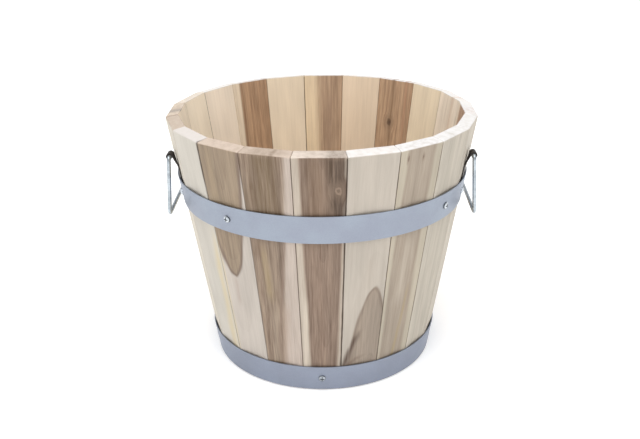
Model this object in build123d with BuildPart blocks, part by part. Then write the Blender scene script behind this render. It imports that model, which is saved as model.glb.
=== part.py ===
from build123d import *
from math import atan, cos, degrees, radians, sin, tan
import os

os.makedirs("parts", exist_ok=True)

# A coopered bucket planter. The origin is the middle of the ground circle, +Z is up,
# -Y is the front and the two drop handles hang at +X and -X.
# An azimuth is counted in degrees from the front, towards +X.
# Stave 0 has its middle at the front, and the others follow towards +X.

# Wall: flat tapered staves, closed to a ring by their radial side faces
stave_count = 20
rim_radius = 190.0          # over the stave corners, at the outer edge of the rim
base_radius = 139.6         # over the stave corners, on the ground
wall_height = 313.0         # ground to the outer edge of the rim
stave_thickness = 15.6
stave_gap = 0.12            # between the side faces of neighbouring staves
outer_ease = 1.1            # rounding of the long outer edges
rim_ease = 2.4              # rounding of the rim's outer edge
inner_ease = 0.6            # bevel of the edges at the inner face

# Hoops: one strip width and gauge, bent round the corners of the staves
hoop_width = 34.0
hoop_thickness = 1.2
hoop_fit = 0.05             # between the hoop and the stave corners
lower_hoop_height = 1.6     # ground to the lower edge of the lower hoop
rim_to_upper_hoop = 69.6    # outer edge of the rim down to the upper hoop
hoop_lap = 24.0             # overlap of the strip's two ends
hoop_joggle = 8.0           # stretch in which the strip steps out over its own end
lap_play = 0.05             # between the two layers of the lap
upper_lap_stave = 10
lower_lap_stave = 11

# Rivets of the laps, two to a hoop, one above the other
rivet_radius = 2.0
rivet_head_radius = 4.2
rivet_head_height = 1.5
rivet_head_bulge = 0.8      # rise of the arc over the straight line from rim to crown
rivet_tail_radius = 3.2
rivet_tail_height = 0.9
rivet_spacing = 16.0
rivet_fit = 0.05            # round the shank, and under the tail on the curved strip

# Pan head screws with a cross recess
screw_radius = 2.0
screw_head_radius = 4.3
screw_head_height = 2.6
screw_head_edge = 0.9       # straight rim of the head, below its dome
screw_dome_radius = 7.3
screw_tip = 3.5
screw_fit = 0.05            # round the shank in every hole
recess_length = 4.8
recess_width = 0.95
recess_depth = 1.5
hoop_screw_length = 14.0
floor_screw_length = 34.0
first_hoop_screw_stave = 3
screw_stave_step = 5

# Floor: boards in a groove across the feet of the staves, on two cleats
floor_height = 10.0         # ground to the underside of the boards
floor_thickness = 16.0
board_count = 5
board_gap = 0.6
board_ease = 0.8
groove_depth = 4.0
groove_play = 0.25          # above, below and beyond the edge of the floor
cleat_width = 30.0
cleat_thickness = 8.0
cleat_place = 62.0          # middle of a cleat to the middle of the bucket
cleat_end_gap = 3.0
cleat_ease = 1.0
drain_radius = 6.0
drain_place = 25.0          # holes of the second and fourth board, off the middle
cleat_screw_radius = 1.6
cleat_screw_head_radius = 3.4
cleat_screw_length = 20.0
cleat_screw_angle = 90.0

# Drop handles: a round wire with its ends turned in, hung in two rolled straps
wire_radius = 2.4
grip_bend = 6.5             # centre line radius of the bends at the grip
eye_bend = 4.0              # centre line radius of the bends at the eyes
wire_end_ease = 0.6
handle_drop = 71.3          # eye to grip, centre to centre
handle_tilt = 3.2           # how far the handle hangs off plumb, in degrees
arm_gap = 0.3               # between the side of an eye and the bend of the wire
wire_reach = 1.2            # how far the turned-in end stands past the eye
strap_width = 12.0
strap_thickness = 1.5
strap_fit = 0.05            # under the strap and in front of it
strap_tuck = 12.0           # length of strap below the screw
strap_ease = 2.5
eye_play = 0.3              # round the wire, in the rolled eye
eye_wrap = 290.0            # how far the strap is rolled, in degrees
eye_rise = 29.4             # upper edge of the upper hoop to the eye's centre
eye_standoff = 7.4          # wood to the eye's centre, along X
neck_drop = 13.0            # eye's centre down to where the strap leaves the wood

# Derived sizes of the wall
pitch = 360 / stave_count
flare = (rim_radius - base_radius) / wall_height
corner_slope = degrees(atan(flare))
facet_slope = degrees(atan(flare * cos(radians(pitch / 2))))
upper_hoop_height = wall_height - rim_to_upper_hoop - hoop_width * cos(radians(corner_slope))
hoop_rise = hoop_width * cos(radians(corner_slope))
wall_depth = stave_thickness / cos(radians(facet_slope))


def corner_radius(height):
    return base_radius + flare * height


def facet_radius(height):
    return corner_radius(height) * cos(radians(pitch / 2))


def outward(azimuth):
    return Vector(sin(radians(azimuth)), -cos(radians(azimuth)), 0)


def sideways(azimuth):
    return Vector(cos(radians(azimuth)), sin(radians(azimuth)), 0)


# Radial plane through the bucket's axis: local x is the radius and local y the height
def radial_plane(azimuth):
    return Plane(origin=(0, 0, 0), x_dir=outward(azimuth), z_dir=-sideways(azimuth))


# Plane on the sloping wall, facing outwards: local y runs up the slope
def wall_plane(azimuth, radius, height, slope):
    origin = outward(azimuth) * radius + Vector(0, 0, height)
    facing = outward(azimuth) * cos(radians(slope)) - Vector(0, 0, sin(radians(slope)))
    return Plane(origin=origin, x_dir=sideways(azimuth), z_dir=facing)


def facet_plane(azimuth, height):
    return wall_plane(azimuth, facet_radius(height), height, facet_slope)


# Seat of a screw or rivet on the outer face of a hoop, over a number of strip layers
def hoop_seat(azimuth, height, layers=1):
    inner = wall_plane(azimuth, corner_radius(height) + hoop_fit, height, corner_slope)
    return inner.offset(layers * hoop_thickness + (layers - 1) * lap_play)


upper_screw_height = upper_hoop_height + hoop_rise / 2
lower_screw_height = lower_hoop_height + hoop_rise / 2
hoop_screw_staves = range(first_hoop_screw_stave, stave_count, screw_stave_step)
floor_screw_staves = range(0, stave_count, screw_stave_step)

# The straps sit on the two staves next to the one under each handle
side_stave = stave_count // 4
strap_staves = {
    ("right", "front"): side_stave - 1,
    ("right", "rear"): side_stave + 1,
    ("left", "rear"): stave_count - side_stave - 1,
    ("left", "front"): stave_count - side_stave + 1,
}
upper_hoop_bores = [*hoop_screw_staves, *strap_staves.values()]

# The groove is cut level, to a depth under the inner face at the middle of the floor
groove_low = floor_height - groove_play
groove_high = floor_height + floor_thickness + groove_play
groove_radius = facet_radius(floor_height + floor_thickness / 2) - wall_depth + groove_depth
floor_radius = groove_radius - groove_play


def inner_radius(height):
    return facet_radius(height) - wall_depth


# Staves
rim_inner = (
    facet_radius(wall_height) - stave_thickness * cos(radians(facet_slope)),
    wall_height + stave_thickness * sin(radians(facet_slope)),
)
stave_profile = [
    (facet_radius(0), 0),
    (facet_radius(wall_height), wall_height),
    rim_inner,
    (inner_radius(groove_high), groove_high),
    (groove_radius, groove_high),
    (groove_radius, groove_low),
    (inner_radius(groove_low), groove_low),
    (inner_radius(0), 0),
]

# One blank at the front serves every stave
with BuildPart() as blank:
    with BuildSketch(radial_plane(0)):
        with BuildLine():
            Polyline(*stave_profile, close=True)
        make_face()
    extrude(amount=rim_radius * tan(radians(pitch)), both=True)

    # Each radial side face stops half a gap short of the plane between two staves
    for side in (-1, 1):
        edge = side * pitch / 2
        side_face = Plane(
            origin=sideways(edge) * (-side * stave_gap / 2),
            x_dir=outward(edge),
            z_dir=sideways(edge) * side,
        )
        split(bisect_by=side_face, keep=Keep.BOTTOM)

    # The rim's outer edge is well rounded, the long outer edges less, the inner ones bevelled
    rim_edges = blank.faces().sort_by(Axis.Z)[-1].edges().filter_by(Axis.X).sort_by(Axis.Y)
    fillet(rim_edges[0], radius=rim_ease)
    long_edges = blank.edges().sort_by(Edge.length)[-4:].sort_by(Axis.Y)
    fillet(long_edges[:2], radius=outer_ease)
    long_edges = blank.edges().sort_by(Edge.length)[-4:].sort_by(Axis.Y)
    rim_edges = blank.faces().sort_by(Axis.Z)[-1].edges().filter_by(Axis.X).sort_by(Axis.Y)
    chamfer([*long_edges[2:], rim_edges[-1]], length=inner_ease)

for index in range(stave_count):
    bores = []
    if index in upper_hoop_bores:
        bores.append((upper_screw_height, hoop_screw_length))
    if index in floor_screw_staves:
        bores.append((lower_screw_height, floor_screw_length))
    with BuildPart() as stave:
        add(blank.part, rotation=(0, 0, index * pitch))
        for height, length in bores:
            with Locations(hoop_seat(index * pitch, height).location):
                Hole(radius=screw_radius + screw_fit, depth=length + screw_tip)
    stave.part.label = f"stave_{index + 1:02d}"
    export_step(stave.part, f"parts/{stave.part.label}.step")


# Section of a hoop's strip at an azimuth, on a number of layers
def strip_section(azimuth, height, layers=1):
    with BuildSketch(radial_plane(azimuth)) as section:
        with BuildLine():
            inset = hoop_fit + (layers - 1) * (hoop_thickness + lap_play) / cos(radians(corner_slope))
            low = Vector(corner_radius(height) + inset, height)
            high = Vector(corner_radius(height + hoop_rise) + inset, height + hoop_rise)
            through = Vector(cos(radians(corner_slope)), -sin(radians(corner_slope))) * hoop_thickness
            Polyline(low, high, high + through, low + through, close=True)
        make_face()
    return section.sketch


# The strip runs once round the bucket, steps out and laps over its own start
hoops = {
    "upper_hoop": (upper_hoop_height, upper_lap_stave, upper_hoop_bores),
    "lower_hoop": (lower_hoop_height, lower_lap_stave, floor_screw_staves),
}
for name, (height, lap_stave, screw_staves) in hoops.items():
    middle_height = height + hoop_rise / 2
    lap_angle = degrees(hoop_lap / corner_radius(middle_height))
    joggle_angle = degrees(hoop_joggle / corner_radius(middle_height))
    start = lap_stave * pitch - lap_angle / 2
    lap_seats = [
        hoop_seat(lap_stave * pitch, middle_height + side * rivet_spacing / 2, layers=2)
        for side in (-1, 1)
    ]
    with BuildPart() as hoop:
        add(strip_section(start, height))
        revolve(axis=Axis.Z, revolution_arc=360 - joggle_angle)
        add(strip_section(start - joggle_angle, height))
        add(strip_section(start, height, layers=2))
        loft(ruled=True)
        add(strip_section(start, height, layers=2))
        revolve(axis=Axis.Z, revolution_arc=lap_angle)
        with Locations([hoop_seat(stave * pitch, middle_height).location for stave in screw_staves]):
            Hole(radius=screw_radius + screw_fit, depth=3 * hoop_thickness)
        with Locations([seat.location for seat in lap_seats]):
            Hole(radius=rivet_radius + rivet_fit, depth=4 * hoop_thickness)
    hoop.part.label = name
    export_step(hoop.part, f"parts/{name}.step")

    # Rivets: a domed head outside, a shank through both layers and a flat tail behind them
    grip = 2 * hoop_thickness + lap_play + rivet_fit
    with BuildPart() as rivet:
        with BuildSketch(Plane.XZ):
            with BuildLine():
                Polyline(
                    (0, -grip - rivet_tail_height),
                    (rivet_tail_radius, -grip - rivet_tail_height),
                    (rivet_tail_radius, -grip),
                    (rivet_radius, -grip),
                    (rivet_radius, 0),
                    (rivet_head_radius, 0),
                )
                SagittaArc((0, rivet_head_height), (rivet_head_radius, 0), rivet_head_bulge)
                Line((0, rivet_head_height), (0, -grip - rivet_tail_height))
            make_face()
        revolve(axis=Axis.Z)
    with BuildPart() as rivets:
        with Locations([seat.location for seat in lap_seats]):
            add(rivet.part)
    rivets.part.label = f"{name}_rivets"
    export_step(rivets.part, f"parts/{name}_rivets.step")


# Pan head screw, its seat at z = 0 and its point down
def pan_head_screw(length):
    with BuildPart() as screw:
        with BuildSketch(Plane.XZ):
            with BuildLine():
                Polyline(
                    (0, screw_head_height),
                    (0, -length),
                    (screw_radius, -length + screw_tip),
                    (screw_radius, 0),
                    (screw_head_radius, 0),
                    (screw_head_radius, screw_head_edge),
                )
                RadiusArc(
                    (screw_head_radius, screw_head_edge), (0, screw_head_height), -screw_dome_radius
                )
            make_face()
        revolve(axis=Axis.Z)
        with BuildSketch(Plane.XY.offset(screw_head_height)):
            Rectangle(recess_length, recess_width)
            Rectangle(recess_width, recess_length)
        extrude(amount=-recess_depth, mode=Mode.SUBTRACT)
    return screw.part


screw_groups = {
    "upper_hoop_screws": (hoop_screw_staves, upper_screw_height, hoop_screw_length),
    "handle_strap_screws": (strap_staves.values(), upper_screw_height, hoop_screw_length),
    "lower_hoop_screws": (floor_screw_staves, lower_screw_height, floor_screw_length),
}
for name, (staves, height, length) in screw_groups.items():
    with BuildPart() as screws:
        with Locations([hoop_seat(stave * pitch, height).location for stave in staves]):
            add(pan_head_screw(length))
    screws.part.label = name
    export_step(screws.part, f"parts/{name}.step")

# Floor boards, side by side along X, cut to the circle of the groove
board_pitch = 2 * floor_radius / board_count
board_places = [(index - (board_count - 1) / 2) * board_pitch for index in range(board_count)]
floor_screw_seats = [hoop_seat(stave * pitch, lower_screw_height) for stave in floor_screw_staves]
cleat_length = 2 * (
    (inner_radius(0) ** 2 - (cleat_place + cleat_width / 2) ** 2) ** 0.5 - cleat_end_gap
)
outer_screw_place = (board_places[-1] - board_pitch / 2 + cleat_length / 2) / 2
cleat_screw_places = [-outer_screw_place, *board_places[1:-1], outer_screw_place]

for index, place in enumerate(board_places):
    with BuildPart() as board:
        with BuildSketch(Plane.XY.offset(floor_height)):
            Circle(floor_radius)
            with Locations((place, 0)):
                Rectangle(board_pitch - board_gap, 2 * floor_radius, mode=Mode.INTERSECT)
        extrude(amount=floor_thickness)
        long_edges = board.edges().filter_by(Axis.Y).group_by(Axis.Z)[-1]
        chamfer(long_edges, length=board_ease)
        if index == board_count // 2:
            with Locations((place, 0, floor_height + floor_thickness)):
                Hole(radius=drain_radius)
        elif 0 < index < board_count - 1:
            with Locations(
                (place, -drain_place, floor_height + floor_thickness),
                (place, drain_place, floor_height + floor_thickness),
            ):
                Hole(radius=drain_radius)
        with Locations([seat.location for seat in floor_screw_seats]):
            Hole(radius=screw_radius + screw_fit, depth=floor_screw_length + screw_tip / 2)
        with BuildSketch(Plane.XY.offset(floor_height)):
            with Locations([(cleat_screw_places[index], side * cleat_place) for side in (-1, 1)]):
                Circle(cleat_screw_radius + screw_fit)
        extrude(amount=cleat_screw_length - cleat_thickness + screw_fit, mode=Mode.SUBTRACT)
    board.part.label = f"floor_board_{index + 1}"
    export_step(board.part, f"parts/{board.part.label}.step")

# Cleats under the boards, with countersunk screws from below
countersink_depth = (cleat_screw_head_radius - cleat_screw_radius) / tan(radians(cleat_screw_angle / 2))
for name, side in (("front", -1), ("rear", 1)):
    with BuildPart() as cleat:
        with BuildSketch(Plane.XY.offset(floor_height)):
            with Locations((0, side * cleat_place)):
                Rectangle(cleat_length, cleat_width)
        extrude(amount=-cleat_thickness)
        chamfer(cleat.faces().sort_by(Axis.Z)[0].edges(), length=cleat_ease)
        under_side = Plane(origin=(0, side * cleat_place, floor_height - cleat_thickness), z_dir=(0, 0, -1))
        with Locations(under_side.location):
            with Locations([(place, 0) for place in cleat_screw_places]):
                CounterSinkHole(
                    radius=cleat_screw_radius + screw_fit,
                    counter_sink_radius=cleat_screw_head_radius + screw_fit,
                    counter_sink_angle=cleat_screw_angle,
                )
    cleat.part.label = f"floor_cleat_{name}"
    export_step(cleat.part, f"parts/{cleat.part.label}.step")

with BuildPart() as cleat_screw:
    with BuildSketch(Plane.XZ):
        with BuildLine():
            Polyline(
                (0, 0),
                (cleat_screw_head_radius, 0),
                (cleat_screw_radius, -countersink_depth),
                (cleat_screw_radius, -cleat_screw_length + screw_tip),
                (0, -cleat_screw_length),
                close=True,
            )
        make_face()
    revolve(axis=Axis.Z)
with BuildPart() as cleat_screws:
    for side in (-1, 1):
        under_side = Plane(origin=(0, side * cleat_place, floor_height - cleat_thickness), z_dir=(0, 0, -1))
        with Locations(under_side.location):
            with Locations([(place, 0) for place in cleat_screw_places]):
                add(cleat_screw.part)
cleat_screws.part.label = "floor_cleat_screws"
export_step(cleat_screws.part, "parts/floor_cleat_screws.step")

# Eyes of the drop handles: one hinge axis along Y on each side of the bucket
eye_height = upper_hoop_height + hoop_rise + eye_rise
eye_reach = facet_radius(eye_height) * cos(radians(pitch)) + eye_standoff
eye_place = facet_radius(eye_height) * sin(radians(pitch))
eye_inner = wire_radius + eye_play
eye_outer = eye_inner + strap_thickness

# Straps: flat under the hoop, then a neck that leaves the wood, turns to face the handle
# and is rolled over the wire
for (side_name, end_name), stave in strap_staves.items():
    side = 1 if side_name == "right" else -1
    end = 1 if end_name == "rear" else -1
    azimuth = stave * pitch
    neck_height = eye_height - neck_drop
    foot_plane = facet_plane(azimuth, upper_screw_height)
    foot_length = (neck_height - upper_screw_height) / cos(radians(facet_slope)) + strap_tuck
    neck_foot = Plane(
        origin=facet_plane(azimuth, neck_height).origin,
        x_dir=foot_plane.x_dir,
        z_dir=foot_plane.y_dir,
    )
    neck_top = Plane(
        origin=(side * (eye_reach - eye_outer), end * eye_place, eye_height),
        x_dir=(0, side, 0),
        z_dir=(0, 0, 1),
    )
    eye_plane = Plane(
        origin=(side * eye_reach, end * eye_place, eye_height),
        x_dir=(side, 0, 0),
        z_dir=(0, -side, 0),
    )
    with BuildPart() as strap:
        with BuildSketch(foot_plane.offset(strap_fit)) as foot:
            with Locations((0, foot_length / 2 - strap_tuck)):
                Rectangle(strap_width, foot_length)
            fillet(foot.vertices().group_by(Axis.Y)[0], radius=strap_ease)
        extrude(amount=strap_thickness)
        with BuildSketch(neck_foot):
            with Locations((0, -strap_fit - strap_thickness / 2)):
                Rectangle(strap_width, strap_thickness)
        with BuildSketch(neck_top):
            with Locations((0, -strap_thickness / 2)):
                Rectangle(strap_width, strap_thickness)
        loft(ruled=True)
        with BuildSketch(eye_plane):
            with BuildLine():
                outer = CenterArc((0, 0), eye_outer, 180, -eye_wrap)
                inner = CenterArc((0, 0), eye_inner, 180, -eye_wrap)
                Line(outer @ 0, inner @ 0)
                Line(outer @ 1, inner @ 1)
            make_face()
        extrude(amount=strap_width / 2, both=True)
        with Locations(hoop_seat(azimuth, upper_screw_height).location):
            Hole(radius=screw_radius + screw_fit, depth=hoop_screw_length / 2)
    strap.part.label = f"handle_strap_{side_name}_{end_name}"
    export_step(strap.part, f"parts/{strap.part.label}.step")

# Drop handles: one wire each, drawn in the plane in which the handle hangs
arm_place = eye_place + strap_width / 2 + arm_gap + eye_bend
end_place = eye_place - strap_width / 2 - wire_reach
for side_name, side in (("left", -1), ("right", 1)):
    hanging_plane = Plane(
        origin=(side * eye_reach, 0, eye_height),
        x_dir=(0, 1, 0),
        z_dir=(cos(radians(handle_tilt)), 0, side * sin(radians(handle_tilt))),
    )
    with BuildPart() as handle:
        with BuildLine(hanging_plane) as wire_path:
            front = [(-end_place, 0), (-arm_place, 0), (-arm_place, -handle_drop / 2)]
            grip = [
                (-arm_place, -handle_drop / 2),
                (-arm_place, -handle_drop),
                (arm_place, -handle_drop),
                (arm_place, -handle_drop / 2),
            ]
            rear = [(arm_place, -handle_drop / 2), (arm_place, 0), (end_place, 0)]
            FilletPolyline(*front, radius=eye_bend)
            FilletPolyline(*grip, radius=grip_bend)
            FilletPolyline(*rear, radius=eye_bend)
        with BuildSketch(Plane(origin=wire_path.wires()[0] @ 0, z_dir=wire_path.wires()[0] % 0)):
            Circle(wire_radius)
        sweep()
        wire_ends = handle.faces().filter_by(GeomType.PLANE)
        chamfer(wire_ends.edges(), length=wire_end_ease)
    handle.part.label = f"handle_{side_name}"
    export_step(handle.part, f"parts/{handle.part.label}.step")
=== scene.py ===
# %% [markdown]
# # A wooden bucket planter
#
# A planter of twenty flat staves, coopered into a tapered bucket. Two zinc coated hoops hold the
# staves together, and a wire handle hangs on each side. The shapes come ready from CAD, each in its
# true place, so this lesson is about what makes them look like wood and metal: finishes built from
# nodes, a plain studio and a camera.

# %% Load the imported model
from collections import namedtuple
from math import atan, cos, degrees, radians, sin, tan

import bpy
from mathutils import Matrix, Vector


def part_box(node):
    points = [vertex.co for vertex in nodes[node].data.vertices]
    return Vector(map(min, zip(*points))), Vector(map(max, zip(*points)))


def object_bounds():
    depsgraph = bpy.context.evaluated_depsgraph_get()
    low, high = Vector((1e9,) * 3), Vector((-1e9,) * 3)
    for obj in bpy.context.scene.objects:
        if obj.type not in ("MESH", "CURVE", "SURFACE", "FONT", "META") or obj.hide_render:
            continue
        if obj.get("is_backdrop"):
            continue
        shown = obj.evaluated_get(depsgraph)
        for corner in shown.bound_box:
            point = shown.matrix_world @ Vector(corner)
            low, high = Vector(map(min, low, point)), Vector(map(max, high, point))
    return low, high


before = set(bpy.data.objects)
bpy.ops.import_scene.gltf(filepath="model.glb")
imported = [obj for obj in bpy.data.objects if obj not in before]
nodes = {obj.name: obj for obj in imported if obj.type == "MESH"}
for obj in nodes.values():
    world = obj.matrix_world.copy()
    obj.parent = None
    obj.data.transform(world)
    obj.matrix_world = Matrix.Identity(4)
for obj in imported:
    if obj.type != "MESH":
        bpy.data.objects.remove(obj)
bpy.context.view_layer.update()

scene = bpy.context.scene

# %% [markdown]
# ## The camera
#
# It stands about a metre in front of the bucket, a little above its rim, and looks down into it. The
# lens is 48 mm on a 36 mm wide sensor, near what the eye sees. The camera hangs very slightly turned
# about its own axis, as a camera on a tripod often does. It could be aimed by a constraint at the
# bucket, but three plain angles are easier to compare with a measured photograph.

# %% Camera
camera_place = (0.0173, -1.0261, 0.5921)
look_down, look_left, camera_roll = radians(22.55), radians(1.157), radians(-0.65)

camera_data = bpy.data.cameras.new("camera")
camera_data.lens = 48.27
camera_data.sensor_width = 36.0
camera = bpy.data.objects.new("camera", camera_data)
scene.collection.objects.link(camera)
scene.camera = camera
camera.location = camera_place
camera.rotation_euler = (radians(90) - look_down, 0, look_left)
camera.rotation_euler.rotate_axis("Z", camera_roll)
print("camera at", camera.location[:])

# %% [markdown]
# ## Two helpers
#
# A finish is a small graph of nodes. One function adds a node: it fills the node's inputs in the
# order in which the node shows them, with a value or with a link from another node, and hands back
# one of its outputs. So a graph reads like a row of sums. Colours are given as the hex values of a
# paint chart, which are coded for the eye, and Blender counts in light, so a second function turns
# them to linear values.


# %% Helpers
def add(tree, kind, *inputs, output=0, **settings):
    """Adds a node, fills its inputs in order and returns one output, or all of them for None."""
    node = tree.nodes.new(kind)
    for name, value in settings.items():
        setattr(node, name, value)
    for socket, value in zip([s for s in node.inputs if s.enabled], inputs):
        if isinstance(value, bpy.types.NodeSocket):
            tree.links.new(value, socket)
        elif value is not None:
            socket.default_value = value
    outputs = [s for s in node.outputs if s.enabled]
    return outputs if output is None else outputs[output]


def paint(code):
    """Turns a hex colour of a paint chart to linear red, green, blue and full opacity."""
    values = [int(code[i:i + 2], 16) / 255 for i in (1, 3, 5)]
    return [v / 12.92 if v <= 0.04045 else ((v + 0.055) / 1.055) ** 2.4 for v in values] + [1.0]


print("mid grey #808080 sends back", round(paint("#808080")[0], 3), "of the light")

# %% [markdown]
# ## A ruler for each piece of wood
#
# Wood has a direction, so a finish has to know how each piece was cut from the log. Texture
# coordinates in the frame of the whole bucket don't tell. A Mapping node of the Texture kind can lay
# a ruler on a stave: its location is the foot of the stave's outer face, its rotation is how the
# stave stands, and its scale is one millimetre. What comes out is millimetres across the stave, into
# the wood and up the slope. UV maps could do the same, but they would have to be unwrapped face by
# face, and end grain and faces would no longer meet.

# %% Rulers
mm = 0.001
stave_count = 20
rim_radius, base_radius, wall_height = 190.0, 139.6, 313.0
half_pitch = radians(180 / stave_count)
facet_slope = atan((rim_radius - base_radius) / wall_height * cos(half_pitch))
foot_radius = base_radius * cos(half_pitch) * mm
stave_length = wall_height / cos(facet_slope)
object_coordinates = 3        # the output of the Texture Coordinate node that has the bucket's frame


def lay_ruler(tree, location=(0, 0, 0), rotation=(0, 0, 0)):
    place = add(tree, "ShaderNodeTexCoord", output=object_coordinates)
    scale = (mm, mm, mm)
    return add(tree, "ShaderNodeMapping", place, location, rotation, scale, vector_type="TEXTURE")


def stave_ruler(tree, index):
    turn = 2 * half_pitch * index
    foot = (foot_radius * sin(turn), -foot_radius * cos(turn), 0)
    return lay_ruler(tree, foot, (facet_slope, 0, turn))


print(f"staves lean {degrees(facet_slope):.1f} degrees and are {stave_length:.0f} mm long")

# %% [markdown]
# ## Words for the graphs
#
# A few sums come back in every finish, so each gets a short name: a calculation, a value that runs
# from one number to another, a soft step, a mix of two colours, and the long side of a triangle.
# The most used is noise with a grain: Blender's noise, squeezed by real sizes, so that its spots are
# as wide and as long as the marks on the wood.


# %% Helpers for node groups
def new_group(name, inputs, outputs):
    group = bpy.data.node_groups.new(name, "ShaderNodeTree")
    for socket_name, kind in inputs.items():
        group.interface.new_socket(socket_name, in_out="INPUT", socket_type=f"NodeSocket{kind}")
    for socket_name, kind in outputs.items():
        group.interface.new_socket(socket_name, in_out="OUTPUT", socket_type=f"NodeSocket{kind}")
    return group


def maths(tree, operation, *inputs, **settings):
    return add(tree, "ShaderNodeMath", *inputs, operation=operation, **settings)


def vectors(tree, operation, *inputs):
    return add(tree, "ShaderNodeVectorMath", *inputs, operation=operation)


def ramp(tree, value, start, end, low=0.0, high=1.0, **settings):
    """Gives low where the value is at start, high where it is at end, and a line between them."""
    return add(tree, "ShaderNodeMapRange", value, start, end, low, high, **settings)


def soft_step(tree, value, start, end, low=0.0, high=1.0):
    """The same as ramp, with a curve that starts and ends gently."""
    return ramp(tree, value, start, end, low, high, interpolation_type="SMOOTHSTEP")


def blend(tree, share, first, second, **settings):
    """Mixes two colours: share is how much of the second shows."""
    return add(tree, "ShaderNodeMix", share, first, second, data_type="RGBA", **settings)


def long_side(tree, a, b):
    return maths(tree, "SQRT", maths(tree, "MULTIPLY_ADD", a, a, maths(tree, "MULTIPLY", b, b)))


def grain(tree, ruler, seed, size, detail=2.0):
    """Noise between 0 and 1 whose spots have this width and length in mm, along the fibres."""
    width, length = size
    squeezed = vectors(tree, "MULTIPLY", ruler, (1 / width, 1 / width, 1 / length))
    moved = vectors(tree, "ADD", squeezed, seed)
    scale, roughness = 1.0, 0.55
    return add(tree, "ShaderNodeTexNoise", moved, scale, detail, roughness)


print("helpers for node groups are ready")

# %% [markdown]
# ## Acacia, sawn and sanded
#
# Plantation acacia has a wide band of cream sapwood round a brown heart, and cheap goods use both, so
# no two staves look alike. The figure isn't drawn on the face: each stave is a slice out of a log.
# Its pith, the middle line of the tree, passes the stave at some distance, and the distance from the
# pith gives the growth rings and the edge of the heart. Where the pith leans towards the face, rings
# come out as arches and the heart as a tongue, as on real boards, and the end grain at the rim
# agrees with the faces.
#
# Real acacia shows its figure at several sizes, and each has its noise below. Its fibres are a tenth
# of a millimetre wide. That is too fine to show here, so they are drawn 1 mm wide.

# %% Sizes of the figure
wander_size = (26, 170)       # width and length in mm of the stretches where rings bulge
streak_size = (3.6, 120)
fibre_size = (1.0, 26)
cloud_size = (30, 90)
band_size = (8, 240)
rim_highlight_size = (7, 7)
wander_depth = 3.0            # how far rings bulge, in mm
ring_depth, streak_depth, fibre_depth = 0.16, 0.38, 0.42
edge_line = 4.2               # half the width of the dark line round the heart, in mm
sap_contrast, more_in_heart = 0.45, 0.7      # how strongly the dark marks show
cloud_light, band_light = 0.07, 0.11         # how much lighter or darker clouds and bands are
ring_sharpness = 3.0          # the higher, the narrower is the dark part of a ring
ring_rise, fibre_sink = 0.5, 0.6             # shares of the relief
rim_highlight_start, rim_highlight_full = 1.5, 0.6             # mm below the rim
noise_range = (0.3, 0.7)      # nearly all of the noise lies between these
streak_range, fibre_range = (0.42, 0.72), (0.35, 0.75)       # the part of it that makes a mark
print(f"finest marks {fibre_size[0]} mm wide, broadest {cloud_size[0]} mm")


# %% Distance from the pith
def from_pith(tree, ruler, foot, rim, seed):
    """Radius of the ring at each point, and how steeply the face cuts through the rings there."""
    up = add(tree, "ShaderNodeSeparateXYZ", ruler, output=2)
    share = maths(tree, "DIVIDE", up, stave_length)
    pith = add(tree, "ShaderNodeMix", share, foot, rim, data_type="VECTOR", clamp_factor=False)
    flat = vectors(tree, "MULTIPLY", vectors(tree, "SUBTRACT", ruler, pith), (1, 1, 0))
    distance = vectors(tree, "LENGTH", flat)

    # A tree isn't round: the rings wander by some millimetres, slowly along the trunk
    wander = maths(tree, "SUBTRACT", grain(tree, ruler, seed, wander_size), 0.5)
    radius = maths(tree, "MULTIPLY_ADD", wander, wander_depth, distance)

    # Where the face runs nearly along a ring, a thin layer of the log covers much of the face
    drift = vectors(tree, "SCALE", vectors(tree, "SUBTRACT", foot, rim), 1 / stave_length)
    lean = vectors(tree, "DOT_PRODUCT", flat, drift)
    aside = add(tree, "ShaderNodeSeparateXYZ", flat)
    steep = maths(tree, "DIVIDE", long_side(tree, aside, lean), distance)
    least_steep = 0.06
    return radius, maths(tree, "MAXIMUM", steep, least_steep)


def heart_of(tree, radius, steep, heart_radius, softness):
    """Where the heart is, and the darker line at its youngest ring, both measured along the face."""
    past = maths(tree, "DIVIDE", maths(tree, "SUBTRACT", radius, heart_radius), steep)
    heart = soft_step(tree, past, softness, maths(tree, "MULTIPLY", softness, -1.0))
    beside = maths(tree, "ABSOLUTE", maths(tree, "ADD", past, softness))
    return heart, soft_step(tree, beside, edge_line, 0.0)


print("pith and heart can be placed")

# %% [markdown]
# ## The log
#
# The group puts the parts together, from the kind of wood down to single fibres. Rings, streaks and
# fibres darken the wood, and show more than twice as much in the heart as in the sapwood. Broad
# clouds and bands make it a little lighter or darker. The rim was sawn and sanded after the bucket
# was closed, and its end grain is painted paler than the faces: a painted highlight where the light
# from above falls on it, uneven in places. Sanded wood without varnish scatters light almost
# evenly, with a roughness of about 0.6, and the usual IOR of wood is 1.5.

# %% Node group: wood out of a log
log = new_group("acacia_log", {
    "Ruler": "Vector", "Pith at foot": "Vector", "Pith at rim": "Vector", "Heart radius": "Float",
    "Ring width": "Float", "Sapwood": "Color", "Heartwood": "Color", "Heart edge": "Color",
    "Edge strength": "Float", "Figure": "Float", "Seed": "Vector", "Edge softness": "Float",
    "End grain highlight": "Color",
}, {"Color": "Color", "Height": "Float", "Roughness": "Float"})
white = (1, 1, 1, 1)
grain_shade = "#7d5f49"


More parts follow.
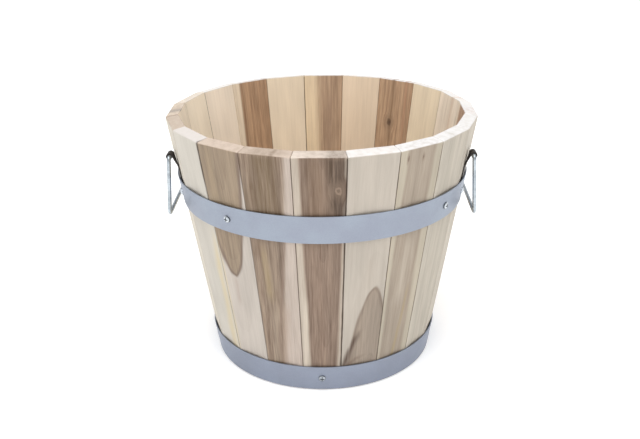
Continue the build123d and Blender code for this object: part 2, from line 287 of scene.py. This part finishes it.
def fill_log(tree):
    (ruler, foot, rim, heart_radius, ring_width, sapwood, heartwood, heart_edge, edge_strength,
     figure, seed, softness, end_grain_highlight) = add(tree, "NodeGroupInput", output=None)[:13]
    radius, steep = from_pith(tree, ruler, foot, rim, seed)
    heart, line = heart_of(tree, radius, steep, heart_radius, softness)
    wood = blend(tree, heart, sapwood, heartwood)
    wood = blend(tree, maths(tree, "MULTIPLY", line, edge_strength), wood, heart_edge)

    # Each ring grows darker until winter and starts light again
    phase = maths(tree, "FRACT", maths(tree, "DIVIDE", radius, ring_width))
    late = maths(tree, "POWER", phase, ring_sharpness)
    fibres = grain(tree, ruler, seed, fibre_size)
    streaks = grain(tree, ruler, seed, streak_size, 3.0)
    contrast = maths(tree, "MULTIPLY_ADD", heart, more_in_heart, sap_contrast)
    strength = maths(tree, "MULTIPLY", contrast, figure)
    dark = maths(tree, "MULTIPLY", late, ring_depth)
    dark = maths(tree, "ADD", dark, ramp(tree, streaks, *streak_range, 0.0, streak_depth))
    dark = maths(tree, "ADD", dark, ramp(tree, fibres, *fibre_range, 0.0, fibre_depth))
    dark = maths(tree, "MULTIPLY", dark, strength, use_clamp=True)
    shade = blend(tree, dark, white, paint(grain_shade))
    wood = blend(tree, 1.0, wood, shade, blend_type="MULTIPLY")

    clouds = grain(tree, ruler, seed, cloud_size, 1.0)
    clouds = ramp(tree, clouds, *noise_range, 1 - cloud_light, 1 + cloud_light)
    bands = ramp(tree, grain(tree, ruler, seed, band_size), *noise_range, -band_light, band_light)
    light = maths(tree, "MULTIPLY_ADD", clouds, maths(tree, "MULTIPLY", strength, bands), clouds)
    wood = vectors(tree, "SCALE", wood, light)

    # Painted highlight on the last millimetre below the rim, where light from above falls: pale end
    # grain, thinner in places
    up = add(tree, "ShaderNodeSeparateXYZ", ruler, output=2)
    end = ramp(tree, up, stave_length - rim_highlight_start, stave_length - rim_highlight_full)
    rim_highlight = ramp(tree, grain(tree, ruler, seed, rim_highlight_size), 0.35, 0.6, 0.7, 0.96)
    wood = blend(tree, maths(tree, "MULTIPLY", end, rim_highlight), wood, end_grain_highlight)

    # Fibres lie a little deeper than the wood between them, and late wood stands up
    height = maths(tree, "MULTIPLY_ADD", fibres, -fibre_sink, maths(tree, "MULTIPLY", late, ring_rise))
    roughness = ramp(tree, fibres, 0.3, 0.8, 0.56, 0.72)
    add(tree, "NodeGroupOutput", wood, height, roughness, output=None)


fill_log(log)
print("acacia_log has", len(log.nodes), "nodes")

# %% [markdown]
# ## Knots and stains
#
# Two more marks of real boards. A knot is the foot of a branch: the grain flows round it, and its
# middle is dark and has rings of its own. A stain is a narrow streak along the grain, from gum or
# from a bark pocket. They could be bent into the log itself, but then one knot would cost a graph of
# its own in every stave. So each is a small group, put before or after the log where it is needed.

# %% Node group: a knot
knot = new_group("knot", {
    "Ruler": "Vector", "Place": "Vector", "Width": "Float", "Length": "Float",
}, {"Ruler": "Vector", "Core": "Float", "Halo": "Float", "Rings": "Float"})
any_depth = 1e6               # a knot goes right through the stave
knot_core = (1.0, 0.55)       # where the core, the halo and the pushed grain begin and where they
knot_halo = (2.6, 0.8)        # are full, all as parts of the knot's own radius
knot_push = (3.4, 0.6)
knot_rings = 9.0
knot_rough = (3, 5)           # width and length in mm of the bumps in its outline


def fill_knot(tree):
    ruler, place, width, length = add(tree, "NodeGroupInput", output=None)[:4]
    away = vectors(tree, "SUBTRACT", ruler, place)
    size = add(tree, "ShaderNodeCombineXYZ", width, any_depth, length)
    reach = vectors(tree, "LENGTH", vectors(tree, "DIVIDE", away, size))
    uneven = maths(tree, "SUBTRACT", grain(tree, ruler, (3, 1, 7), knot_rough), 0.5)
    reach = maths(tree, "MULTIPLY_ADD", uneven, 0.9, reach)
    core = soft_step(tree, reach, *knot_core)
    halo = soft_step(tree, reach, *knot_halo)
    wave = maths(tree, "SINE", maths(tree, "MULTIPLY", reach, knot_rings))
    rings = ramp(tree, wave, -0.4, 1.0, 0.0, 0.6)

    # Round the knot the grain is pushed aside, so the lines there pass it left and right
    across = add(tree, "ShaderNodeSeparateXYZ", away)
    push = soft_step(tree, reach, *knot_push, 0.0, -0.95)
    shift = add(tree, "ShaderNodeCombineXYZ", maths(tree, "MULTIPLY", across, push))
    ruler = vectors(tree, "ADD", ruler, shift)
    add(tree, "NodeGroupOutput", ruler, core, halo, rings, output=None)


fill_knot(knot)
print("knot has", len(knot.nodes), "nodes")

# %% Node group: a stain
stain = new_group("stain", {
    "Ruler": "Vector", "Wood": "Color", "Colour": "Color", "Low end": "Vector", "High end": "Vector",
    "Width": "Float", "Strength": "Float", "Fade": "Float", "Seed": "Vector",
}, {"Wood": "Color"})
wobble_size = (12, 60)        # width and length in mm of the bends in a stain
wobble_depth = 1.2            # how far it bends aside, in widths of the stain
gap_size = (1.8, 45)          # width and length in mm of the gaps in it


def fill_stain(tree):
    ruler, wood, colour, low, high, width, strength, fade, seed = add(
        tree, "NodeGroupInput", output=None)[:9]
    across, _, up = add(tree, "ShaderNodeSeparateXYZ", ruler, output=None)
    low_across, _, low_up = add(tree, "ShaderNodeSeparateXYZ", low, output=None)
    high_across, _, high_up = add(tree, "ShaderNodeSeparateXYZ", high, output=None)
    middle = ramp(tree, up, low_up, high_up, low_across, high_across, clamp=False)
    wobble = maths(tree, "SUBTRACT", grain(tree, ruler, seed, wobble_size), 0.5)
    middle = maths(tree, "MULTIPLY_ADD", wobble, maths(tree, "MULTIPLY", width, wobble_depth), middle)
    beside = maths(tree, "ABSOLUTE", maths(tree, "SUBTRACT", across, middle))
    band = soft_step(tree, maths(tree, "DIVIDE", beside, width), 1.0, 0.0)
    foot = ramp(tree, up, maths(tree, "SUBTRACT", low_up, fade), low_up)
    head = ramp(tree, up, maths(tree, "ADD", high_up, fade), high_up)
    broken = ramp(tree, grain(tree, ruler, seed, gap_size), 0.3, 0.6, 0.5, 1.0)
    mask = strength
    for part in (band, foot, head, broken):
        mask = maths(tree, "MULTIPLY", mask, part)
    add(tree, "NodeGroupOutput", blend(tree, mask, wood, colour), output=None)


fill_stain(stain)
print("stain has", len(stain.nodes), "nodes")

# %% [markdown]
# ## Dark joints
#
# Between two staves dust and shadow gather in the groove of the eased edges. The groove is there in
# the shape, but it is only a millimetre wide and casts little shadow, so the wood beside it is
# darkened too, with painted shade as well as dust: by how much, and how wide, differs from joint to
# joint. A stave is a wedge, so its edge is found from how far up and how deep a point lies.

# %% Node group: the two edges of a stave
foot_half_width = base_radius * sin(half_pitch)
rim_half_width = rim_radius * sin(half_pitch)
joint_dirt_and_shade = "#3d2b1a"
joint_dirt_and_shade_size = (40, 30)          # width and length in mm of its wider and narrower stretches
clean_rim = (3.0, 1.0)        # mm below the rim: the painted shade and dust begin to fade, and have faded
edges = new_group("stave_edges", {
    "Ruler": "Vector", "Wood": "Color", "Left": "Float", "Right": "Float", "Left width": "Float",
    "Right width": "Float",
}, {"Wood": "Color"})


def fill_edges(tree):
    ruler, wood, left, right, left_width, right_width = add(tree, "NodeGroupInput", output=None)[:6]
    across, into, up = add(tree, "ShaderNodeSeparateXYZ", ruler, output=None)
    half = ramp(tree, up, 0.0, stave_length, foot_half_width, rim_half_width)
    half = maths(tree, "MULTIPLY_ADD", into, -tan(half_pitch), half)
    inside = maths(tree, "SUBTRACT", half, maths(tree, "ABSOLUTE", across))
    strength = ramp(tree, across, -1.0, 1.0, left, right)
    width = ramp(tree, across, -1.0, 1.0, left_width, right_width)
    uneven = ramp(tree, grain(tree, ruler, (2, 9, 4), joint_dirt_and_shade_size), *noise_range, 0.6, 1.3)
    near = maths(tree, "DIVIDE", inside, maths(tree, "MULTIPLY", width, uneven))
    shade = maths(tree, "MULTIPLY", soft_step(tree, near, 1.0, 0.0), strength)
    # The rim is sanded clean across the joints, so the painted shade and dust fade out there
    fading, faded = (stave_length - below for below in clean_rim)
    clean = ramp(tree, up, fading, faded, 1.0, 0.15)
    shade = maths(tree, "MULTIPLY", shade, clean)
    # Painted shade and dust darken the wood beside each joint
    add(tree, "NodeGroupOutput", blend(tree, shade, wood, paint(joint_dirt_and_shade)), output=None)


fill_edges(edges)
print(f"a stave is {2 * foot_half_width:.1f} mm wide at its foot, {2 * rim_half_width:.1f} at the rim")

# %% [markdown]
# ## One material for each piece of wood
#
# The groups are joined up here: ruler, knots, log, stains, joints, then the shader. A description of a
# piece of wood is short, and everything in it can be pointed at on a real board: where the pith passes
# at the foot and at the rim (millimetres across and into the wood), how far the heart reaches, and the
# colours of both kinds of wood. One material for all staves would be less work, but then no stave
# could be told from the next.


# %% Start and end of a finish
def new_finish(name):
    material = bpy.data.materials.new(name)
    material.use_nodes = True
    material.node_tree.nodes.clear()
    return material


def surface(tree, colour, roughness, relief, strength, depth, **constants):
    """Ends a finish: the shader, with a bump of that depth in metres from the relief."""
    bump = tree.nodes.new("ShaderNodeBump")
    bump.inputs["Strength"].default_value = strength
    bump.inputs["Distance"].default_value = depth
    tree.links.new(relief, bump.inputs["Height"])
    shader = tree.nodes.new("ShaderNodeBsdfPrincipled")
    for name, value in constants.items():
        shader.inputs[name].default_value = value
    tree.links.new(colour, shader.inputs["Base Color"])
    tree.links.new(roughness, shader.inputs["Roughness"])
    tree.links.new(bump.outputs["Normal"], shader.inputs["Normal"])
    output = tree.nodes.new("ShaderNodeOutputMaterial")
    tree.links.new(shader.outputs["BSDF"], output.inputs["Surface"])


def finish_node(name, material):
    """Gives a CAD piece its finish, in one material slot that takes the place of those it had."""
    mesh = nodes[name].data
    mesh.materials.clear()
    mesh.materials.append(material)


def put_group(tree, group, values):
    """Adds a node group and fills its sockets by name."""
    node = tree.nodes.new("ShaderNodeGroup")
    node.node_tree = group
    for name, value in values.items():
        if isinstance(value, bpy.types.NodeSocket):
            tree.links.new(value, node.inputs[name])
        else:
            node.inputs[name].default_value = value
    return node.outputs


print("a finish can be started, ended and put on a piece")

# %% Wood material
wood_ior = 1.5
wood_relief = 0.25 * mm
seed_steps = (7.31, 3.17, 11.9)      # uneven, so that no two pieces show the same noise
Knot = namedtuple("Knot", "place width length colour")        # place is (across, up), all in mm
Stain = namedtuple("Stain", "colour low high width strength fade")      # low, high: (across, up)
Joints = namedtuple("Joints", "left right left_width right_width")      # how dark, how wide in mm
# end is the pale colour painted on the rim: a painted highlight where light from above falls on it
plain_wood = dict(
    foot=(0, 90), rim=(0, 90), heart=20, rings=5.0, sap="#dccdb4", brown="#a88c76", edge="#84695a",
    edge_strength=0.0, figure=0.7, softness=3.0, knots=(), stains=(), joints=None, end="#dad8d7",
)


def add_knots(tree, colour, knots):
    """Paints the knots that were found on the way: a soft halo, then the core with its rings."""
    for found, shade in knots:
        colour = blend(tree, maths(tree, "MULTIPLY", found["Halo"], 0.35), colour, paint(shade))
        ringed = blend(tree, found["Rings"], paint(shade), paint("#45362a"))
        colour = blend(tree, maths(tree, "MULTIPLY", found["Core"], 0.9), colour, ringed)
    return colour


def add_stains(tree, colour, ruler, stains, seed):
    for number, mark in enumerate(stains):
        colour = put_group(tree, stain, {
            "Ruler": ruler, "Wood": colour, "Colour": paint(mark.colour),
            "Low end": (mark.low[0], 0, mark.low[1]), "High end": (mark.high[0], 0, mark.high[1]),
            "Width": mark.width, "Strength": mark.strength, "Fade": mark.fade,
            "Seed": (seed[0] + number, seed[1], seed[2]),
        })["Wood"]
    return colour


def make_wood(name, ruler_of, number, **details):
    wood = {**plain_wood, **details}
    material = new_finish(name)
    tree = material.node_tree
    straight = bent = ruler_of(tree)
    seed = tuple(number * step for step in seed_steps)
    knots = []
    for mark in wood["knots"]:
        found = put_group(tree, knot, {
            "Ruler": bent, "Place": (mark.place[0], 0, mark.place[1]), "Width": mark.width,
            "Length": mark.length})
        bent = found["Ruler"]
        knots.append((found, mark.colour))
    sawn = put_group(tree, log, {
        "Ruler": bent, "Pith at foot": (*wood["foot"], 0), "Pith at rim": (*wood["rim"], 0),
        "Heart radius": wood["heart"], "Ring width": wood["rings"], "Sapwood": paint(wood["sap"]),
        "Heartwood": paint(wood["brown"]), "Heart edge": paint(wood["edge"]),
        "Edge strength": wood["edge_strength"], "Figure": wood["figure"], "Seed": seed,
        "Edge softness": wood["softness"], "End grain highlight": paint(wood["end"]),
    })
    colour = add_stains(tree, sawn["Color"], straight, wood["stains"], seed)
    colour = add_knots(tree, colour, knots)
    if wood["joints"]:
        dark = wood["joints"]
        colour = put_group(tree, edges, {
            "Ruler": straight, "Wood": colour, "Left": dark.left, "Right": dark.right,
            "Left width": dark.left_width, "Right width": dark.right_width,
        })["Wood"]
    surface(tree, colour, sawn["Roughness"], sawn["Height"], 0.35, wood_relief, IOR=wood_ior)
    return material


print("plain wood:", plain_wood["sap"], "with a heart of", plain_wood["brown"])

# %% [markdown]
# ## The staves
#
# Numbered from the front, towards the right handle. Staves 17 to 20 and 1 to 5 show their outer faces
# to the camera, and 6 to 16 their inner faces, 15.6 mm further into the wood. Staves 1, 2, 3, 19 and
# 20 are cut so near the pith that brown heart shows outside, 6, 9, 11 and 13 show it inside, and the
# rest are sapwood.

# %% Describe and finish the staves
stave_wood = {
    1: dict(
        foot=(2.4, 28.6), rim=(2.6, 20), heart=31.5, rings=3.4, sap="#baae9f", brown="#907b6a",
        edge="#735f50", edge_strength=0.35, figure=0.8, softness=2.8, end="#cfc2b6",
        knots=[Knot((20, 277), 5.0, 7.0, "#85705e")],
        stains=[
            Stain("#3a2816", (20, 240), (17, 311), 19, 0.9, 12),
            Stain("#6b5236", (-4, 215), (-4, 308), 22, 0.4, 15),
            Stain("#d3c7b6", (-19, 40), (-18, 110), 5, 0.6, 40),
        ],
    ),
    2: dict(
        foot=(13, 51.2), rim=(6, 70.9), heart=60, rings=9.0, sap="#b4ab9f", brown="#9a8c7d",
        edge="#796859", edge_strength=0.45, figure=0.45, softness=1.4, end="#dad6d3",
        stains=[
            Stain("#4f3b2e", (-20, 36), (-7, 76), 6, 1.0, 12),
            Stain("#705a4b", (-13, 38), (-3, 44), 9, 0.6, 6),
            Stain("#a5988a", (4, 150), (5, 182), 6, 0.3, 8),
        ],
    ),
    3: dict(
        foot=(-3.6, 47.5), rim=(0.7, 46), heart=50.3, rings=5.5, sap="#b1a795", brown="#a19484",
        edge="#8c7b69", edge_strength=0.15, figure=0.38, softness=2.5,
        knots=[
            Knot((-18, 306), 1.3, 4.0, "#7c6858"),
            Knot((3, 304), 1.1, 3.0, "#7c6858"),
        ],
        stains=[
            Stain("#a08c64", (1, 38), (9, 125), 3.5, 0.6, 15),
            Stain("#bdb1a1", (-2, 130), (0, 190), 12, 0.5, 25),
        ],
    ),
    4: dict(
        rings=7.0, sap="#b9b1a3", figure=0.8,
        stains=[
            Stain("#aaa394", (-10, 40), (-4, 310), 6, 0.45, 20),
            Stain("#aaa394", (8, 40), (10, 250), 5, 0.35, 20),
        ],
    ),
    5: dict(sap="#bdb4a5", figure=0.7),
    # Staves 6 to 16 are seen inside the bucket, where less light reaches: their sapwood is painted
    # paler than on the outer staves, as painted light
    6: dict(
        foot=(-15, 30), rim=(-15, 30), heart=31, sap="#e6d8c4", brown="#c3a38b", edge="#8a6a57",
        edge_strength=0.3, figure=0.9,
    ),
    7: dict(
        sap="#f5e7d4", figure=0.9,
        stains=[Stain("#c6a88d", (-14, 150), (-10, 317), 6, 0.5, 20)],
    ),
    8: dict(sap="#ebdabe", figure=0.5),
    9: dict(
        foot=(2, 30), rim=(2, 30), heart=50, rings=4.5, sap="#dcc8ac", brown="#c5a484",
        edge="#97765a", figure=0.8,
        knots=[Knot((5, 258), 4.2, 5.5, "#654c39")],
        stains=[
            Stain("#86694f", (3, 235), (4, 317), 4.5, 0.8, 15),
            Stain("#a87c60", (-18, 60), (-17, 317), 3, 0.7, 15),
            Stain("#86694f", (3, 120), (2, 240), 3, 0.35, 15),
        ],
    ),
    10: dict(sap="#e1ccb2", figure=0.4),
    11: dict(
        foot=(-34, 35), rim=(-30, 30), heart=40, sap="#e6cfad", brown="#b99c80", edge="#9c826e",
        edge_strength=0.1, figure=0.7, softness=6.0,
        stains=[Stain("#8d725f", (-8, 215), (-9, 275), 6, 0.45, 25)],
    ),
    12: dict(sap="#e6d4ba", figure=0.35),
    13: dict(
        foot=(-14, 40), rim=(-14, 40), heart=39.4, sap="#e5d3ba", brown="#be9b7a", edge="#8a6a52",
        edge_strength=0.5, figure=0.75, softness=2.0,
    ),
    14: dict(sap="#f0e1cd", figure=0.35),
    15: dict(sap="#f8ead3", figure=0.3, end="#cdc2b6"),
    16: dict(
        sap="#f6e8d2", figure=0.4, end="#b8a898",
        stains=[Stain("#7f7873", (8, 316), (6, 322), 11, 0.75, 1)],
    ),
    17: dict(
        sap="#ccc4b5", figure=0.5, end="#b5a494",
        stains=[Stain("#8b7363", (-27, 316), (-26, 322), 7, 0.8, 1)],
    ),
    18: dict(
        sap="#c3bdb2", figure=0.4, end="#cdc6c1",
        stains=[
            Stain("#cbb98d", (13, 40), (18, 165), 12, 0.7, 50),
            # Painted shadow in the open joint with stave 19, above the upper hoop
            Stain(joint_dirt_and_shade, (27.9, 243), (29.6, 313), 3.4, 0.95, 20),
        ],
    ),
    19: dict(
        foot=(-7, 69.3), rim=(-5, 49.0), heart=60, rings=6.5, sap="#bdb4aa", brown="#988670",
        edge="#6b574e", edge_strength=0.62, figure=0.5, softness=1.2, end="#c3b2a3",
        stains=[
            Stain("#d0c094", (-22, 40), (-27, 200), 4, 0.5, 30),
            Stain("#a28d6c", (-16, 255), (-16, 300), 9, 0.3, 20),
            Stain("#a28e82", (-7, 116), (-7, 142), 5, 0.5, 10),
            # Painted shadow in the open joint with stave 18, above the upper hoop
            Stain(joint_dirt_and_shade, (-27.9, 243), (-29.6, 313), 1.8, 0.9, 15),
        ],
    ),
    20: dict(
        foot=(-67, 20), rim=(-44, 20), heart=68, rings=3.8, sap="#c1b3a7", brown="#9a8774",
        edge="#786456", edge_strength=0.4, figure=0.9, softness=4.4, end="#bcab9c",
        stains=[
            Stain("#6f5947", (6, 250), (8, 317), 4, 0.5, 15),
            Stain("#5a4521", (-4, 225), (-2, 311), 32, 0.62, 10),
            Stain("#a08a79", (3, 40), (6, 110), 9, 0.5, 20),
            Stain("#bfae99", (-9, 40), (-5, 105), 8, 0.4, 25),
            Stain("#6f5947", (-20, 190), (-14, 212), 10, 0.5, 10),
            Stain("#a8946f", (-10, 140), (-12, 190), 8, 0.5, 20),
            Stain("#7e6859", (-4, 70), (7, 150), 3, 0.5, 20),
            Stain("#7e6859", (7, 150), (13, 212), 3.4, 0.6, 10),
        ],
    ),
}
# How dark and how wide the painted shade and dust of each joint are
outer_joints = Joints(0.6, 0.6, 0.9, 0.9)
inner_joints = Joints(0.4, 0.4, 0.8, 0.8)
own_joints = {
    1: Joints(0.5, 0.95, 0.8, 2.4), 2: Joints(0.95, 0.85, 1.3, 1.0),
    3: Joints(0.85, 0.85, 1.0, 1.0), 4: Joints(0.85, 0.5, 1.0, 0.9),
    11: Joints(0.4, 0.8, 0.8, 1.0), 12: Joints(0.8, 0.4, 1.0, 0.8), 13: Joints(0.4, 0.0, 0.8, 0.8),
    14: Joints(0.0, 0.75, 0.8, 1.0), 15: Joints(0.75, 0.6, 1.0, 0.9),
    16: Joints(0.6, 0.5, 0.9, 0.8), 18: Joints(0.5, 0.6, 0.8, 0.9), 19: Joints(0.6, 0.5, 0.9, 0.8),
    20: Joints(0.7, 0.85, 0.9, 1.0),
}
inner_staves = range(6, 17)
for number, details in stave_wood.items():
    name = f"stave_{number:02d}"
    usual = inner_joints if number in inner_staves else outer_joints
    finish_node(name, make_wood(
        f"acacia_{name}", lambda tree: stave_ruler(tree, number - 1), number,
        joints=own_joints.get(number, usual), **details))
print(len(stave_wood), "staves finished")

# %% [markdown]
# ## Floor boards and cleats
#
# The same wood, sawn the same way, only the ruler lies down: the boards run front to back and the
# cleats left to right.

# %% Finish the floor
board_turn = (radians(-90), 0, 0)        # the ruler's up runs to the back, its depth goes down
cleat_turn = (0, radians(90), 0)         # the ruler's up runs to the right
board_tints = {1: "#d9c6a6", 2: "#c9ad8c", 3: "#dcc9aa", 4: "#cdb292", 5: "#d8c4a2"}
for number, tint in board_tints.items():
    low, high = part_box(f"floor_board_{number}")
    start = ((low.x + high.x) / 2, 0, high.z)
    finish_node(f"floor_board_{number}", make_wood(
        f"acacia_board_{number}", lambda tree: lay_ruler(tree, start, board_turn), 40 + number,
        foot=(number * 4 - 12, 36), rim=(number * 3, 48), heart=26 + 3 * number, sap=tint, figure=0.9))
for number, name in enumerate(("floor_cleat_front", "floor_cleat_rear")):
    low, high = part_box(name)
    start = (0, (low.y + high.y) / 2, low.z)
    finish_node(name, make_wood(
        f"acacia_{name}", lambda tree: lay_ruler(tree, start, cleat_turn), 50 + number,
        sap="#d5c09e", figure=0.9))
print("floor finished")

# %% [markdown]
# ## Zinc coated steel
#
# The hoops are strip that was dipped in zinc and rolled flat: a dull blue grey, so even that only
# soft clouds and faint rolling lines show. Screws, rivets and the wire are plated, which is thinner
# and brighter. A metal takes its colour from what it reflects, so metallic is 1, the base colour is
# the metal's own tint, and the IOR stays as Blender has it. The cross of a screw and a ring round its
# head are painted darker: painted shade in these small recesses. The lower hoop and its screws are
# darker copies of the upper ones, and the straps are painted dark grey: painted shade as well.

# %% Metal materials
metal_relief = 0.02 * mm
recess_shade_colour = "#3a3d42"
recess_shade_strength = 0.8
wear = 0.06                   # how much smoother or rougher a metal is in places
head_edge = (3.3, 4.2)        # mm from the middle of a screw: the painted shade begins, and is darkest
cross_side = (0.75, 0.4)      # half the width of the cross in the head, and where its painted shade is darkest
cross_end = (2.9, 2.4)        # half its length, in the same way


def screw_recess_shade(tree, first_angle, height):
    """Where painted shade darkens four screw heads, a quarter turn apart: round the head and in its
    cross.
    """
    east, north, up = add(tree, "ShaderNodeSeparateXYZ", lay_ruler(tree), output=None)
    angle = maths(tree, "ARCTAN2", east, maths(tree, "MULTIPLY", north, -1.0))
    angle = maths(tree, "SUBTRACT", angle, radians(first_angle))
    turn = maths(tree, "WRAP", angle, radians(45), radians(-45))
    across = maths(tree, "ABSOLUTE", maths(tree, "MULTIPLY", turn, long_side(tree, east, north)))
    above = maths(tree, "ABSOLUTE", maths(tree, "SUBTRACT", up, height))
    off_centre = long_side(tree, across, above)
    ring = ramp(tree, off_centre, *head_edge)
    arm = ramp(tree, maths(tree, "MINIMUM", across, above), *cross_side)
    inner = ramp(tree, off_centre, *cross_end)
    return maths(tree, "MAXIMUM", ring, maths(tree, "MULTIPLY", arm, inner))


def make_metal(name, colour, dull, roughness, cloud_size, line_size, screws=None):
    material = new_finish(name)
    tree = material.node_tree
    clouds = grain(tree, lay_ruler(tree), (1, 2, 3), (cloud_size, cloud_size), 3.0)
    lines = grain(tree, lay_ruler(tree), (4, 5, 6), (line_size, line_size))
    tint = blend(tree, ramp(tree, clouds, 0.35, 0.65), paint(colour), paint(dull))
    # Painted shade in the cross and round the head of each screw
    if screws:
        recess_shade = maths(tree, "MULTIPLY", screw_recess_shade(tree, *screws), recess_shade_strength)
        tint = blend(tree, recess_shade, tint, paint(recess_shade_colour))
    uneven = ramp(tree, lines, *noise_range, roughness - wear, roughness + wear)
    surface(tree, tint, uneven, lines, 0.3, metal_relief, Metallic=1.0)
    return material


hoop_zinc = make_metal("galvanised_steel_strip", "#99a1ad", "#949aa7", 0.5, 40, 1.2)
# A darker copy of the hoop zinc for the lower hoop: painted shade near the floor
shaded_lower_hoop_zinc = make_metal("galvanised_steel_strip_painted_shade", "#959cab", "#9096a4", 0.52, 40, 1.2)
plated_zinc = make_metal("zinc_plated_steel", "#c9d0d6", "#b9c0c8", 0.3, 3, 0.6)
wire_zinc = make_metal("zinc_plated_wire", "#b9c1c7", "#9aa2a8", 0.3, 6, 0.8)
# The straps are painted dark grey: painted shade, for the shadow beside the wood in which they sit
shaded_strap_steel = make_metal("strap_steel_painted_shade", "#4c4846", "#393431", 0.5, 5, 0.8)
upper_screw_zinc = make_metal(
    "zinc_plated_upper_screw", "#d2d8dd", "#c3cad1", 0.28, 3, 0.6, screws=(54, 226.5))
# A darker copy of the upper screws' zinc for the lower ones: painted shade near the floor
shaded_lower_screw_zinc = make_metal(
    "zinc_plated_lower_screw_painted_shade", "#b4bac1", "#a2a9b0", 0.28, 3, 0.6, screws=(0, 18.4))
metal_of = {
    "upper_hoop": hoop_zinc, "upper_hoop_screws": upper_screw_zinc, "upper_hoop_rivets": plated_zinc,
    "lower_hoop": shaded_lower_hoop_zinc, "lower_hoop_screws": shaded_lower_screw_zinc, "lower_hoop_rivets": plated_zinc,
    "handle_left": wire_zinc, "handle_right": wire_zinc, "handle_strap_screws": plated_zinc,
    "floor_cleat_screws": plated_zinc,
}
for side in ("left", "right"):
    for end in ("front", "rear"):
        metal_of[f"handle_strap_{side}_{end}"] = shaded_strap_steel
for name, metal in metal_of.items():
    finish_node(name, metal)
print(len(metal_of), "metal pieces finished")

# %% [markdown]
# ## The studio
#
# A wide white floor that runs out of the picture on all sides, a bright sky for the soft fill, and
# one large lamp above and in front. A large lamp gives soft shadows, as a light tent does. Pictures
# for a shop have a white ground: so the floor glows a little, least under the bucket, where its
# shadow has to show, and the sky is brightest at the horizon, as the white walls of a studio are.

# %% Floor and light
floor_half = 30.0             # metres
glow_radii = (0.2, 0.9)       # metres from the middle: under the bucket, and clear of its shadow
glow_strengths = (0.22, 0.45)
sky_heights = (0.04, 0.3)     # 0 is the horizon and 1 is straight up
sky_strengths = (1.0, 0.7)
softbox_size = 2.0            # metres
softbox_power = 42            # watts
softbox_place, softbox_aim = Vector((-0.05, -0.75, 2.2)), Vector((0, 0, 0.2))

corners = [(-floor_half, -floor_half, 0), (floor_half, -floor_half, 0), (floor_half, floor_half, 0),
           (-floor_half, floor_half, 0)]
mesh = bpy.data.meshes.new("studio_floor")
mesh.from_pydata(corners, [], [(0, 1, 2, 3)])
studio_floor = bpy.data.objects.new("studio_floor", mesh)
scene.collection.objects.link(studio_floor)
floor_white = bpy.data.materials.new("white_floor_paint")
floor_white.use_nodes = True
floor_tree = floor_white.node_tree
floor_shader = floor_tree.nodes["Principled BSDF"]
floor_shader.inputs["Base Color"].default_value = paint("#f4f4f4")
floor_shader.inputs["Roughness"].default_value = 0.9
place = add(floor_tree, "ShaderNodeTexCoord", output=object_coordinates)
off_centre = vectors(floor_tree, "LENGTH", place)
glow = ramp(floor_tree, off_centre, *glow_radii, *glow_strengths)
floor_shader.inputs["Emission Color"].default_value = paint("#ffffff")
floor_tree.links.new(glow, floor_shader.inputs["Emission Strength"])
mesh.materials.append(floor_white)
studio_floor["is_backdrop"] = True

world = bpy.data.worlds.new("studio_light")
scene.world = world
world.use_nodes = True
sky_tree = world.node_tree
sky = sky_tree.nodes["Background"]
sky.inputs["Color"].default_value = paint("#ffffff")
direction = add(sky_tree, "ShaderNodeTexCoord")
height = add(sky_tree, "ShaderNodeSeparateXYZ", direction, output=2)
brightness = ramp(sky_tree, height, *sky_heights, *sky_strengths)
sky_tree.links.new(brightness, sky.inputs["Strength"])

softbox = bpy.data.lights.new("softbox", "AREA")
softbox.shape = "RECTANGLE"
softbox.size = softbox.size_y = softbox_size
softbox.energy = softbox_power
lamp = bpy.data.objects.new("softbox", softbox)
scene.collection.objects.link(lamp)
lamp.location = softbox_place
lamp.rotation_euler = (softbox_aim - softbox_place).to_track_quat("-Z", "Y").to_euler()
scene.view_settings.view_transform = "Standard"
print("floor, sky and one softbox")

# %% [markdown]
# ## The size of the finished object
#
# The finished object has to fill the same box as the CAD model, so its size is printed.

# %% Sizes
low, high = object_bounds()
print("size", [round(v, 4) for v in high - low])
